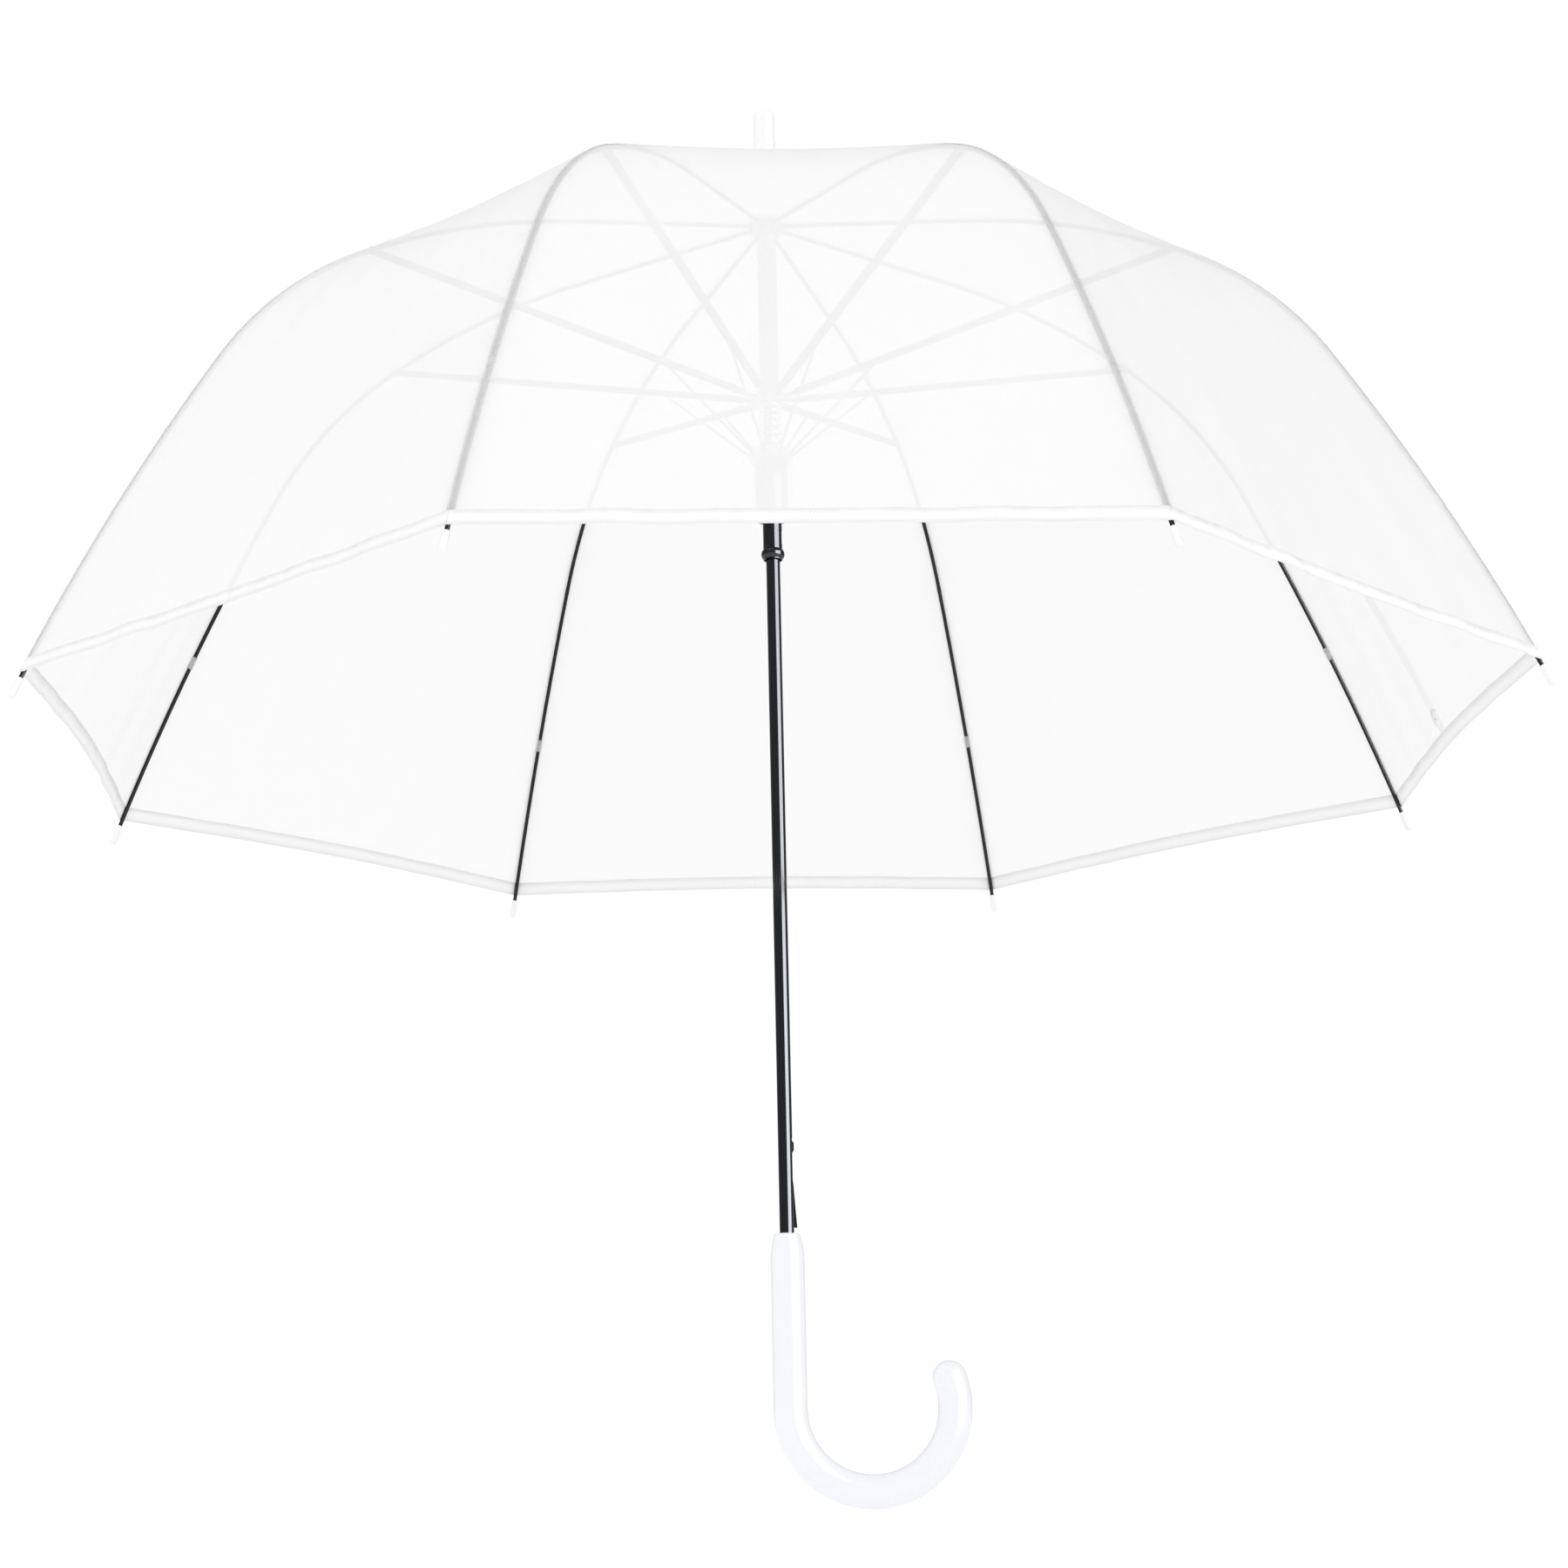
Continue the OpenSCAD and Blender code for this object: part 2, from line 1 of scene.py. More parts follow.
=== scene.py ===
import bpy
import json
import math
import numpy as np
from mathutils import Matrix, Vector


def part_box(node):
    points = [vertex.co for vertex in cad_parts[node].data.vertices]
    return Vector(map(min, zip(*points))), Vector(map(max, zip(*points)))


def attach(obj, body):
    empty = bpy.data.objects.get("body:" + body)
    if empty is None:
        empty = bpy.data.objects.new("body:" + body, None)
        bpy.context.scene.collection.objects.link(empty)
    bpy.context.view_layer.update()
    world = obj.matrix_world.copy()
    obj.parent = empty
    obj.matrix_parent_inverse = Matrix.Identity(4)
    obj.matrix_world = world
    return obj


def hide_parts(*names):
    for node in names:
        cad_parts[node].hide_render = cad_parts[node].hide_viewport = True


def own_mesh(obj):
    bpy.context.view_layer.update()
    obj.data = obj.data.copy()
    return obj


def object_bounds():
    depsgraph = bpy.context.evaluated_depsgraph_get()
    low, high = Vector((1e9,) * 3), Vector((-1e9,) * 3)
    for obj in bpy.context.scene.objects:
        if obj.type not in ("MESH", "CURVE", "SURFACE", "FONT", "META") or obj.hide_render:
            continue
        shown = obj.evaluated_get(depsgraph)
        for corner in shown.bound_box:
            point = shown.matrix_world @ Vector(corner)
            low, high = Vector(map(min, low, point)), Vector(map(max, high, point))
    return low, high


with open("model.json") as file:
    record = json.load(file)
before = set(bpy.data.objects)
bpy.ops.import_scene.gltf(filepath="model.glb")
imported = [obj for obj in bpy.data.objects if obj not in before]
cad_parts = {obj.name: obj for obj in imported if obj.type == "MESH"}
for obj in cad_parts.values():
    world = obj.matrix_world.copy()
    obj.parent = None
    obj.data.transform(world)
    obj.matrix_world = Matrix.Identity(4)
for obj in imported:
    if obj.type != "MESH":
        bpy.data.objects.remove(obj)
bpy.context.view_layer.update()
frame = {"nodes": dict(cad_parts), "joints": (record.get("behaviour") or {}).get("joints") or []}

# %% [markdown]
# # A clear dome umbrella
# The real object is a stick umbrella of the kind sold for weddings and rain alike: eight black
# spring steel ribs, folded steel struts, a slim tube shaft, white moulded fittings, a white crook and
# a dome of clear film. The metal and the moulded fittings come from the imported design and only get
# their finishes here. The film with its hem, welds and ties, the strap and its snaps, the spring, the
# lower runner's sheath and the handle's smooth skin are made here, because they are the pieces that a
# design tool keeps plain.

MM = 0.001
RIBS = 8
joints = {joint["name"]: joint for joint in frame["joints"]}


def radius_and_height(name):
    """Where a hinge lies, as (distance from the shaft's axis, height), in metres."""
    x, y, z = joints[name]["pos_m"]
    return np.array([math.hypot(x, y), z])


CROWN = radius_and_height("rib_1_fold")
KNEE = radius_and_height("strut_1_hinge")
TIP_OUT, TIP_DROP = 0.430, 0.320
TIP = np.array([TIP_OUT, CROWN[1] - TIP_DROP])
print("crown", CROWN, "knee", KNEE, "tip", TIP)

# %% [markdown]
# ## The line of a rib
# A rib is one bent wire. It leaves the crown almost level, bends gently as far as the knee, where the
# strut holds it, then tightly, and runs down almost straight to the tip. So its slope is a broken line
# over its length: level, rising, rising fast, rising slowly. Adding up small steps along that slope
# gives the curve, and the film is hung on it.

# %% The rib as a curve
# Degrees below level at the crown, after the straight stretch, at the knee, below the knee's tight bend
# and at the tip.
SLOPES = np.radians([8, 8, 26.4, 58, 66])


def stretches(start, end, a, b, c):
    """Lengths of two stretches that lead from start to end. On the first the slope goes from a to b and
    on the second from b to c. An arc whose slope goes from p to q moves (sin q - sin p) / (q - p) out and
    (cos p - cos q) / (q - p) down for each unit of its length, and a straight moves (cos p, sin p)."""
    def step(p, q):
        if p == q:
            return [math.cos(p), math.sin(p)]
        return [(math.sin(q) - math.sin(p)) / (q - p), (math.cos(p) - math.cos(q)) / (q - p)]
    steps = np.array([step(a, b), step(b, c)]).T
    return np.linalg.solve(steps, [end[0] - start[0], start[1] - end[1]])


straight, gentle = stretches(CROWN, KNEE, SLOPES[0], SLOPES[1], SLOPES[2])
tight, long = stretches(KNEE, TIP, SLOPES[2], SLOPES[3], SLOPES[4])
MARKS = np.cumsum([0, straight, gentle, tight, long])
KNEE_AT, TIP_AT = MARKS[2], MARKS[4]
STEP = 0.1 * MM
fine = np.arange(0, TIP_AT + STEP, STEP)
fine_slope = np.interp(fine, MARKS, SLOPES)
fine_out = CROWN[0] + np.cumsum(np.cos(fine_slope)) * STEP
fine_up = CROWN[1] - np.cumsum(np.sin(fine_slope)) * STEP


def rib_line(along):
    """Distance from the shaft, height and slope of a rib's middle at these lengths along it."""
    return tuple(np.interp(along, fine, values) for values in (fine_out, fine_up, fine_slope))


print("rib length %.1f mm, knee at %.1f mm" % (TIP_AT / MM, KNEE_AT / MM))

# %% [markdown]
# ## Meshes from grids
# Every made piece here is a grid of points worked out with numpy. A sheet is one grid. A solid strip
# is two grids, an under side and an upper side, with a wall round the edge. A tube is a grid whose last
# column meets its first, and a hoop is a tube whose last ring meets its first as well. One function turns
# any of them into a mesh.

# %% Grid helpers
def quads(rows, cols, wrap=False):
    """Corner numbers of a grid's squares. Square (r, c) has the corners (r, c), (r + 1, c), (r + 1, c + 1)
    and (r, c + 1), so it faces the way of (down the rows) x (across the columns)."""
    across = cols if wrap else cols - 1
    r, c = np.meshgrid(np.arange(rows - 1), np.arange(across), indexing="ij")
    right = (c + 1) % cols
    this, below = r * cols, (r + 1) * cols
    return np.stack([this + c, below + c, below + right, this + right], -1).reshape(-1, 4)


def circle(sides):
    """Angles of a ring's points, evenly round a whole turn."""
    return np.linspace(0, 2 * math.pi, sides, endpoint=False)


print("3 x 3 points make", len(quads(3, 3)), "squares, or", len(quads(3, 3, wrap=True)), "as a tube")

# %% Pieces from grids
def make(name, points, faces, finish, body):
    """A smooth mesh piece at the origin that rides on a body."""
    mesh = bpy.data.meshes.new(name)
    corners = [[int(k) for k in face] for face in faces]
    mesh.from_pydata(np.asarray(points).reshape(-1, 3).tolist(), [], corners)
    mesh.polygons.foreach_set("use_smooth", np.full(len(faces), True))
    mesh.materials.append(finish)
    mesh.update()
    piece = bpy.data.objects.new(name, mesh)
    bpy.context.scene.collection.objects.link(piece)
    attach(piece, body)
    return piece


def strip(name, under, over, finish, body):
    """A closed strip between two grids of the same size: over faces out, under faces in, and the edge
    between them is a wall."""
    rows, cols = over.shape[:2]
    top = quads(rows, cols)
    base = rows * cols
    rim = np.concatenate([
        np.arange(cols),
        np.arange(1, rows) * cols + cols - 1,
        (rows - 1) * cols + np.arange(cols - 2, -1, -1),
        np.arange(rows - 2, 0, -1) * cols,
    ])
    after = np.roll(rim, -1)
    walls = np.stack([rim, after, after + base, rim + base], -1)
    faces = np.concatenate([top, top[:, ::-1] + base, walls])
    points = np.concatenate([over.reshape(-1, 3), under.reshape(-1, 3)])
    return make(name, points, faces, finish, body)


def tube(name, rings, finish, body):
    """A tube through rings, as (ring, point, 3). Rings that shrink to a point close an end."""
    rows, cols = rings.shape[:2]
    ends = [np.arange(cols)[::-1], (rows - 1) * cols + np.arange(cols)]
    faces = list(quads(rows, cols, wrap=True)) + ends
    return make(name, rings, faces, finish, body)


def hoop(name, rings, finish, body):
    """A band that closes on itself: like a tube, but the last ring meets the first, so it has no ends."""
    rows, cols = rings.shape[:2]
    faces = quads(rows + 1, cols, wrap=True) % (rows * cols)
    return make(name, rings, faces, finish, body)


print("shapes at hand: sheet, strip, tube and hoop")

# %% [markdown]
# ## Colours and nodes
# Colours are written as sRGB hex, as a paint chart gives them, and turned to linear light once. One small
# function adds a node with its settings and its links, so that a material reads as a list of what it does.

# %% Material helpers
def linear(code):
    """Linear RGBA of an sRGB hex colour: c / 12.92 for dark values, ((c + 0.055) / 1.055) ** 2.4 above."""
    values = [int(code[k:k + 2], 16) / 255 for k in (1, 3, 5)]
    return tuple(c / 12.92 if c <= 0.04045 else ((c + 0.055) / 1.055) ** 2.4 for c in values) + (1,)


def add(tree, kind, inputs=None, **settings):
    """Adds a node. settings are its properties. inputs are its sockets' values, or outputs to link to."""
    made = tree.nodes.new("ShaderNode" + kind)
    for key, value in settings.items():
        setattr(made, key, value)
    for key, value in (inputs or {}).items():
        if isinstance(value, bpy.types.NodeSocket):
            tree.links.new(value, made.inputs[key])
        else:
            made.inputs[key].default_value = value
    return made


def new_material(name, **constants):
    """A material with one Principled shader, whose plain values are set on its own sockets."""
    material = bpy.data.materials.new(name)
    material.use_nodes = True
    principled = material.node_tree.nodes["Principled BSDF"]
    for key, value in constants.items():
        principled.inputs[key.replace("_", " ")].default_value = value
    where = add(material.node_tree, "TexCoord").outputs["Object"]
    return material, material.node_tree, principled, where


print("white, linear:", linear("#FFFFFF"))

# %% [markdown]
# ## An opaque finish
# No real surface is quite even. Its colour drifts by a hair, its gloss has duller and brighter patches,
# and it has a grain or draw lines that catch the light. All the plastics and metals here have the same
# three noises, each with a size in millimetres that suits the material, so one function makes them all.

# %% Opaque finish
# A noise's values lie mostly in the middle of 0 to 1, so a range stretches that middle to its two ends.
MIDDLE = {"From Min": 0.3, "From Max": 0.7}


def surface(name, colours, blotch, rough, patch, grain, depth, drawn=1, **constants):
    """An opaque finish with three noises. One, blotch metres across, moves the colour between two hex
    codes. One, patch metres across, moves the roughness from 0.8 to 1.3 times its middle. One, grain
    metres across, stands depth metres proud. drawn makes them that many times longer up the shaft."""
    material, tree, principled, where = new_material(name, **constants)
    along = add(tree, "Mapping", {"Vector": where, "Scale": (1, 1, 1 / drawn)}).outputs[0]
    mottle = add(tree, "TexNoise", {"Vector": along, "Scale": 1 / blotch, "Detail": 2.0})
    # A Mix node's inputs 6 and 7 and its output 2 are the ones for colours.
    colour = add(tree, "Mix", {"Factor": mottle.outputs["Fac"],
                               6: linear(colours[0]), 7: linear(colours[1])}, data_type="RGBA")
    tree.links.new(colour.outputs[2], principled.inputs["Base Color"])
    wear = add(tree, "TexNoise", {"Vector": along, "Scale": 1 / patch, "Detail": 4.0})
    spread = add(tree, "MapRange", {"Value": wear.outputs["Fac"], **MIDDLE,
                                    "To Min": rough * 0.8, "To Max": rough * 1.3})
    tree.links.new(spread.outputs["Result"], principled.inputs["Roughness"])
    relief = add(tree, "TexNoise", {"Vector": along, "Scale": 1 / grain, "Detail": 1.0})
    raised = add(tree, "Bump", {"Height": relief.outputs["Fac"], "Distance": depth, "Strength": 0.4})
    tree.links.new(raised.outputs["Normal"], principled.inputs["Normal"])
    return material


print("a noise is stretched", MIDDLE)

# %% [markdown]
# ## Clear film
# The canopy is soft extruded film, 0.25 mm thick, glossy and slightly milky. In bright studio light its
# haze hides most of what is behind it, so ribs behind it look pale grey. So the haze mixes a see-through
# shader with a lit one. The lit part is half light from in front and half light through the film, which
# is why the inside of the dome is as bright as the outside, and why a rib that touches the film, and
# shades it from behind, looks darker than one far behind. In a polished tube's reflection the film
# counts as almost clear. The film was rolled up, so it holds faint long ripples. Where two layers are
# welded they have melted together, and the haze is mostly gone. The strap's film is thicker and clearer
# than the canopy's.

# %% Film finish
FILM_WHITE = linear("#FBFBFB")
FILM_ROUGH = 0.29, 0.35

# Sizes of the film's unevenness: ripples from the roll, duller patches, streaks of haze. Streaks and
# ripples are drawn out along the dome's height.
RIPPLES, DULL_PATCHES, STREAKS, DRAWN_OUT = 70 * MM, 45 * MM, 60 * MM, 3
RIPPLE_DEPTH = 0.4 * MM
HAZE_IN_MIRRORS = 0.05


def film_material(name, haze_low, haze_high):
    """Extruded film, see-through by one less its haze. The haze wanders between two values in streaks.
    What isn't see-through is half a glossy white surface and half light that comes through."""
    material, tree, front, where = new_material(name, IOR=1.5, Specular_IOR_Level=0.15)
    front.inputs["Base Color"].default_value = FILM_WHITE
    along = add(tree, "Mapping", {"Vector": where, "Scale": (1, 1, 1 / DRAWN_OUT)}).outputs[0]
    ripples = add(tree, "TexNoise", {"Vector": along, "Scale": 1 / RIPPLES, "Detail": 0.0})
    raised = add(tree, "Bump", {"Height": ripples.outputs["Fac"], "Distance": RIPPLE_DEPTH,
                                "Strength": 0.5})
    tree.links.new(raised.outputs["Normal"], front.inputs["Normal"])
    patches = add(tree, "TexNoise", {"Vector": where, "Scale": 1 / DULL_PATCHES, "Detail": 1.0})
    gloss = add(tree, "MapRange", {"Value": patches.outputs["Fac"], **MIDDLE,
                                   "To Min": FILM_ROUGH[0], "To Max": FILM_ROUGH[1]})
    tree.links.new(gloss.outputs["Result"], front.inputs["Roughness"])
    streaks = add(tree, "TexNoise", {"Vector": along, "Scale": 1 / STREAKS, "Detail": 3.0})
    haze = add(tree, "MapRange", {"Value": streaks.outputs["Fac"], **MIDDLE,
                                  "To Min": haze_low, "To Max": haze_high}).outputs["Result"]
    mirrored = add(tree, "LightPath").outputs["Is Glossy Ray"]
    seen = add(tree, "MapRange", {"Value": mirrored, "To Min": 1.0, "To Max": HAZE_IN_MIRRORS}).outputs[0]
    haze = add(tree, "Math", {0: haze, 1: seen}, operation="MULTIPLY").outputs[0]
    through = add(tree, "BsdfTranslucent", {"Color": FILM_WHITE})
    lit = add(tree, "MixShader", {0: 0.5, 1: front.outputs[0], 2: through.outputs[0]})
    clear = add(tree, "BsdfTransparent")
    film = add(tree, "MixShader", {0: haze, 1: clear.outputs[0], 2: lit.outputs[0]})
    tree.links.new(film.outputs[0], tree.nodes["Material Output"].inputs["Surface"])
    return material


print("film: streaks %.0f mm wide, ripples %.0f mm apart" % (STREAKS / MM, RIPPLES / MM))

# %% Films and tape
clear_film = film_material("clear_extruded_film", haze_low=0.90, haze_high=0.94)
welded_film = film_material("welded_double_film", haze_low=0.14, haze_high=0.22)
strap_film = film_material("thick_strap_film", haze_low=0.40, haze_high=0.55)
# White binding tape: calendered vinyl, which gives a soft sheen over a fine grain of 0.6 mm.
tape = surface("white_vinyl_tape", ("#F6F6F7", "#FBFBFB"), blotch=25 * MM, rough=0.5, patch=6 * MM,
               grain=0.6 * MM, depth=0.03 * MM, IOR=1.5)
print("film materials:", clear_film.name, welded_film.name, strap_film.name, tape.name)

# %% [markdown]
# ## Moulded plastics
# The handle is glossy ABS, polished in the tool, so it is smooth with a faint orange peel and a cool
# white. The small white fittings are acetal, more satin, because such parts are left unpolished. The
# crown and the two runners are nylon of a pearl grey, which shows as a pale column behind the film.

# %% Plastic materials
# The orange peel of polished ABS is about 2 mm wide. The grain of the unpolished mouldings is really
# finer than 0.8 mm, which is the finest that shows.
MOULDED = {"blotch": 18 * MM, "patch": 6 * MM, "depth": 0.02 * MM, "IOR": 1.5, "Specular_IOR_Level": 0.25}
glossy_abs = surface("glossy_white_abs", ("#F6F8FD", "#F9FAFE"), rough=0.16, grain=2.2 * MM, **MOULDED)
satin_acetal = surface("satin_white_acetal", ("#F5F5F6", "#F9F9F9"), rough=0.38, grain=0.8 * MM, **MOULDED)
pearl_nylon = surface("pearl_grey_nylon", ("#858A97", "#9498A3"), rough=0.34, grain=0.8 * MM, **MOULDED)
print("plastics:", glossy_abs.name, satin_acetal.name, pearl_nylon.name)

# %% [markdown]
# ## Metals
# The shaft is drawn steel tube with a dark nickel plate, so it mirrors the room darkly with one bright
# line where a window stands. Drawing leaves faint lines along it. Ribs are spring steel under black
# enamel, struts are folded from black plated strip, and the springs are bright zinc plated wire.

# %% Metal materials
# Draw lines are really some hundredths of a millimetre apart and enamel's and plating's grain is as fine.
# They are drawn 0.5 and 0.7 mm wide, which is the finest that shows.
PLATED = {"blotch": 9 * MM, "patch": 0.5 * MM, "grain": 0.5 * MM, "depth": 0.008 * MM, "Metallic": 1.0}
black_nickel = surface("black_nickel_tube", ("#3E3F41", "#4A4B4E"), rough=0.10, drawn=60, **PLATED)
bright_zinc = surface("bright_zinc_wire", ("#B9BCC0", "#D4D6D9"), rough=0.22, **PLATED)
COATED = {"blotch": 14 * MM, "patch": 4 * MM, "grain": 0.7 * MM, "depth": 0.02 * MM,
          "IOR": 1.5, "Specular_IOR_Level": 0.35}
black_enamel = surface("black_enamelled_spring_steel", ("#0A0A0C", "#141416"), rough=0.32, **COATED)
black_strip = surface("black_plated_strip_steel", ("#1C1D20", "#2A2B2E"), rough=0.36, **COATED)
print("metals:", black_nickel.name, black_enamel.name, black_strip.name, bright_zinc.name)

# %% [markdown]
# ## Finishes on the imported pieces
# The shaft, fittings, ribs, struts and links keep their own meshes. Each only takes a finish, by the
# name of its node without the rib's number.

# %% Finishes
FINISHES = {
    "shaft": black_nickel, "latch_tube": black_nickel, "release_catch": black_nickel,
    "ferrule": satin_acetal, "tip_cap": satin_acetal, "rosette": satin_acetal,
    "crown": pearl_nylon, "runner": pearl_nylon, "lower_runner": pearl_nylon,
    "rib_inner": black_enamel, "rib_outer": black_enamel, "strut": black_strip, "link": black_strip,
    "crown_wire": bright_zinc, "runner_wire": bright_zinc,
}
for name, packed in frame["nodes"].items():
    finish = FINISHES.get(name.rstrip("0123456789").rstrip("_"))
    if finish is not None:
        packed.data.materials.clear()
        packed.data.materials.append(finish)
print(len(frame["nodes"]), "packed nodes")

# %% [markdown]
# ## The shape of the film
# The canopy is welded from gores whose seams run along the ribs. It is stretched, so between two ribs it
# lies nearly flat, and it sags a few millimetres toward the shaft because film has no stiffness. Under
# the ferrule it lifts over the crown like a small tent. A half gore runs from a rib, side 0, to the
# middle between two ribs, side 1, where it meets its neighbour.

# %% Film as a function
FILM_GAP = 1.7 * MM
SAG, BOW = 6 * MM, 4 * MM
TENT, TENT_REACH = 3.6 * MM, 9 * MM
RIPPLE, RIPPLE_COUNT = 0.7 * MM, 3
HALF = math.pi / RIBS
FIRST_RIB, RIB_PITCH = -67.5, 360 / RIBS


def rib_frame(points, i):
    """Turns points from rib i's own frame, +X straight out, about the shaft to where rib i stands."""
    angle = math.radians(FIRST_RIB + RIB_PITCH * (i - 1))
    cos, sin = math.cos(angle), math.sin(angle)
    return np.asarray(points) @ np.array([[cos, sin, 0], [-sin, cos, 0], [0, 0, 1]])


def film_point(along, side, hand, proud=0.0, phase=0.0):
    """A point of the film. It starts on the rib, moved out by the film's gap along the rib's normal. From
    there it goes along the chord toward the next rib by side, 0 to 1, and sinks along the normal by the
    sag, a quarter sine. Ripples are a sine across the gore that fades at both its edges. Near the crown
    the tent, a bell curve, lifts it, and toward the hem the bow lifts its middle."""
    out, up, slope = rib_line(along)
    lift = FILM_GAP + proud
    out, up = out + lift * np.sin(slope), up + lift * np.cos(slope)
    share = out / TIP[0]
    quarter = np.sin(math.pi / 2 * side)
    fade = share ** 3 * np.sin(math.pi * side) ** 2
    ripple = RIPPLE * fade * np.sin(2 * math.pi * RIPPLE_COUNT * side + phase)
    sag = SAG * share * quarter + ripple
    tent = TENT * np.exp(-((out - CROWN[0]) / TENT_REACH) ** 2)
    x = out * (1 - side * math.sin(HALF) ** 2) - sag * np.sin(slope) * math.cos(HALF)
    y = out * side * math.cos(HALF) * math.sin(HALF) - sag * np.sin(slope) * math.sin(HALF) * side
    z = up - sag * np.cos(slope) + tent + BOW * share ** 4 * quarter
    return np.stack([x, hand * y, z], -1)


def film_grid(start, end, rows, sides, hand, proud=0.0, phase=0.0):
    """A grid of film points from one length along the rib to another. On the left hand, -1, its columns
    run backward, so that both hands face out."""
    side = sides[::hand]
    return film_point(np.linspace(start, end, rows)[:, None], side[None, :], hand, proud, phase)


print("a gore sags %.0f mm at its middle, %.0f degrees from its rib" % (SAG / MM, math.degrees(HALF)))

# %% [markdown]
# ## How the film rides on the ribs
# Closed, the eight ribs lie along the shaft. Each half gore rides on its rib, so it turns with its rib as
# the ribs fold, and it gets a mesh of its own. A half gore's far edge lies nearer the shaft than its rib
# does.

# %% Riding on the ribs
# The two hands of a half gore, by name: left, -1, and right, 1.
HANDS = {"left": -1, "right": 1}


def gather(piece):
    """Gives a half gore, or a piece on it, its own copy of its mesh."""
    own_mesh(piece)


def flat_area(points):
    """Area of a grid: half the cross product of each square's diagonals, added up."""
    one = points[1:, 1:] - points[:-1, :-1]
    two = points[1:, :-1] - points[:-1, 1:]
    return float(np.linalg.norm(np.cross(one, two), axis=-1).sum() / 2)


# %% [markdown]
# ## Half gores and hem
# Sixteen half gores above the knees ride on the inner ribs and sixteen below ride on the outer ribs. At
# rest they meet edge to edge and read as one dome. A white tape, folded over the film's edge, is the
# hem. The tape's first and last columns are very narrow, so that the smooth shading of its end walls,
# which nobody sees, doesn't show as a dark notch where two lengths of tape meet.

# %% Sizes of film and hem
FILM_START, HEM_AT = 0.9 * MM, TIP_AT - 1.0 * MM
HEM_WIDTH, TAPE = 8.2 * MM, 0.35 * MM
FILM_SIDES = np.linspace(0, 1, 25)
NARROW = 0.003
HEM_SIDES = np.concatenate([[0, NARROW], FILM_SIDES[1:-1], [1 - NARROW, 1]])
# Start, end and rows of the half gores above and below the knee.
SPANS = {"inner": (FILM_START, KNEE_AT, 26), "outer": (KNEE_AT, HEM_AT, 64)}
print("hem %.1f mm wide, at %.1f mm along the rib" % (HEM_WIDTH / MM, HEM_AT / MM))

# %% Film and hem
# The ripples of each half gore start at their own phase.
rng = np.random.default_rng(8)
phases = rng.uniform(0, 2 * math.pi, (RIBS, 2))
sheets = []
for i in range(1, RIBS + 1):
    for name, hand in HANDS.items():
        phase = phases[i - 1, (hand + 1) // 2]
        made = {}
        for part, (start, end, rows) in SPANS.items():
            grid = rib_frame(film_grid(start, end, rows, FILM_SIDES, hand, phase=phase), i)
            film = make(f"film_{part}_{i}_{name}", grid, quads(rows, len(FILM_SIDES)), clear_film,
                        f"rib_{part}_{i}")
            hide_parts(f"canopy_{i}")
            made[part] = (film, grid, end - start)
        over = film_grid(HEM_AT - HEM_WIDTH, HEM_AT + TAPE, 3, HEM_SIDES, hand, TAPE, phase)
        under = film_grid(HEM_AT - HEM_WIDTH, HEM_AT + TAPE, 3, HEM_SIDES, hand, -TAPE, phase)
        hem = strip(f"hem_{i}_{name}", rib_frame(under, i), rib_frame(over, i), tape, f"rib_outer_{i}")
        for part, (film, grid, length) in made.items():
            width = float(np.linalg.norm(grid[-1, -1] - grid[-1, 0]))
            area = flat_area(grid)
            gather(film)
            sheets.append((width, length, area))
        gather(hem)
print("half gore above the knee: %.3f x %.3f m, %.4f m2" % sheets[0])
print("half gore below the knee: %.3f x %.3f m, %.4f m2" % sheets[1])
print("film in all: %.3f m2" % sum(area for width, length, area in sheets))

# %% [markdown]
# ## Welds and ties
# Along each rib the gores overlap by a few millimetres and are welded, so a slightly thicker and clearer
# band runs down each rib. Each is a closed strip that lies on the film. Below the knee a small loop of
# film holds the rib, as thread ties do on cloth: a thin section, turned about the rib.

# %% Sizes of welds and ties
WELD_HALF, WELD_LOW, WELD_HIGH = 2.2 * MM, 0.05 * MM, 0.35 * MM
# Start, end and rows of the welds above and below the knee.
WELD_SPANS = {"inner": (45 * MM, KNEE_AT, 20), "outer": (KNEE_AT, HEM_AT - HEM_WIDTH, 50)}
TIE_AT, TIE_LENGTH, TIE_SIDES = 468 * MM, 8 * MM, 24
# The tie's section: at its upper end (0), middle (1) or lower end (2), and the radius there in mm.
TIE_SECTION = [(0, 1.35), (0, 1.9), (1, 2.05), (2, 1.9), (2, 1.35), (1, 1.3)]
print("welds %.1f mm wide, ties %.0f mm long" % (2 * WELD_HALF / MM, TIE_LENGTH / MM))

# %% Welds and ties
def weld_grid(start, end, rows, proud):
    """A band over the rib: five columns across, as far from the rib as a share of the chord says."""
    along = np.linspace(start, end, rows)[:, None]
    across = np.linspace(-1, 1, 5)[None, :] * WELD_HALF
    side = np.abs(across) / (rib_line(along)[0] * math.cos(HALF) * math.sin(HALF))
    return film_point(along, side, np.sign(across), proud)


def tie_rings():
    """A loop round the rib. Each point of its section is turned about the wire: its normal is cos a times
    the film's normal plus sin a times the direction across the rib."""
    out, up, slope = rib_line(np.array([TIE_AT - TIE_LENGTH / 2, TIE_AT, TIE_AT + TIE_LENGTH / 2]))
    a = circle(TIE_SIDES)
    rings = []
    for place, radius in TIE_SECTION:
        lean = slope[place]
        normal = np.stack([np.sin(lean) * np.cos(a), np.sin(a), np.cos(lean) * np.cos(a)], -1)
        rings.append([out[place], 0, up[place]] + normal * radius * MM)
    return np.array(rings)


